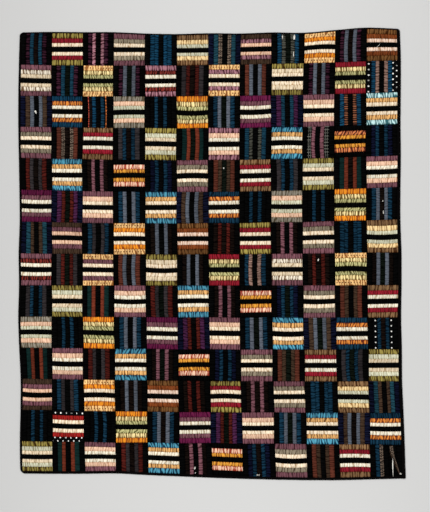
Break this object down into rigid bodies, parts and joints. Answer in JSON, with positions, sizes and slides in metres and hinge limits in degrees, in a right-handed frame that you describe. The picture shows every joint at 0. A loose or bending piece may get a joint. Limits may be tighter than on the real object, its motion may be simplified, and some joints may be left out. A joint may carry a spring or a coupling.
{
  "type": "roman stripes quilt",
  "caption": "Flat throw quilt pieced from square blocks of crinkled silk ribbon strips in alternating directions, with a narrow black binding.",
  "frame": {"origin": "bottom centre of the quilt's outer size, on the surface that it lies on", "axes": "+Y towards the quilt's top edge, +X to its right edge, +Z out of its face"},
  "size_m": [1.4566, 1.701, 0.0053],
  "materials": {
    "silk_ribbons": "crinkled silk and satin ribbon with a soft sheen",
    "black_binding": "matt black woven tape"
  },
  "bodies": {
    "root": {"patchwork": "silk_ribbons", "binding_top": "black_binding", "binding_right": "black_binding", "binding_bottom": "black_binding", "binding_left": "black_binding"}
  },
  "joints": []
}
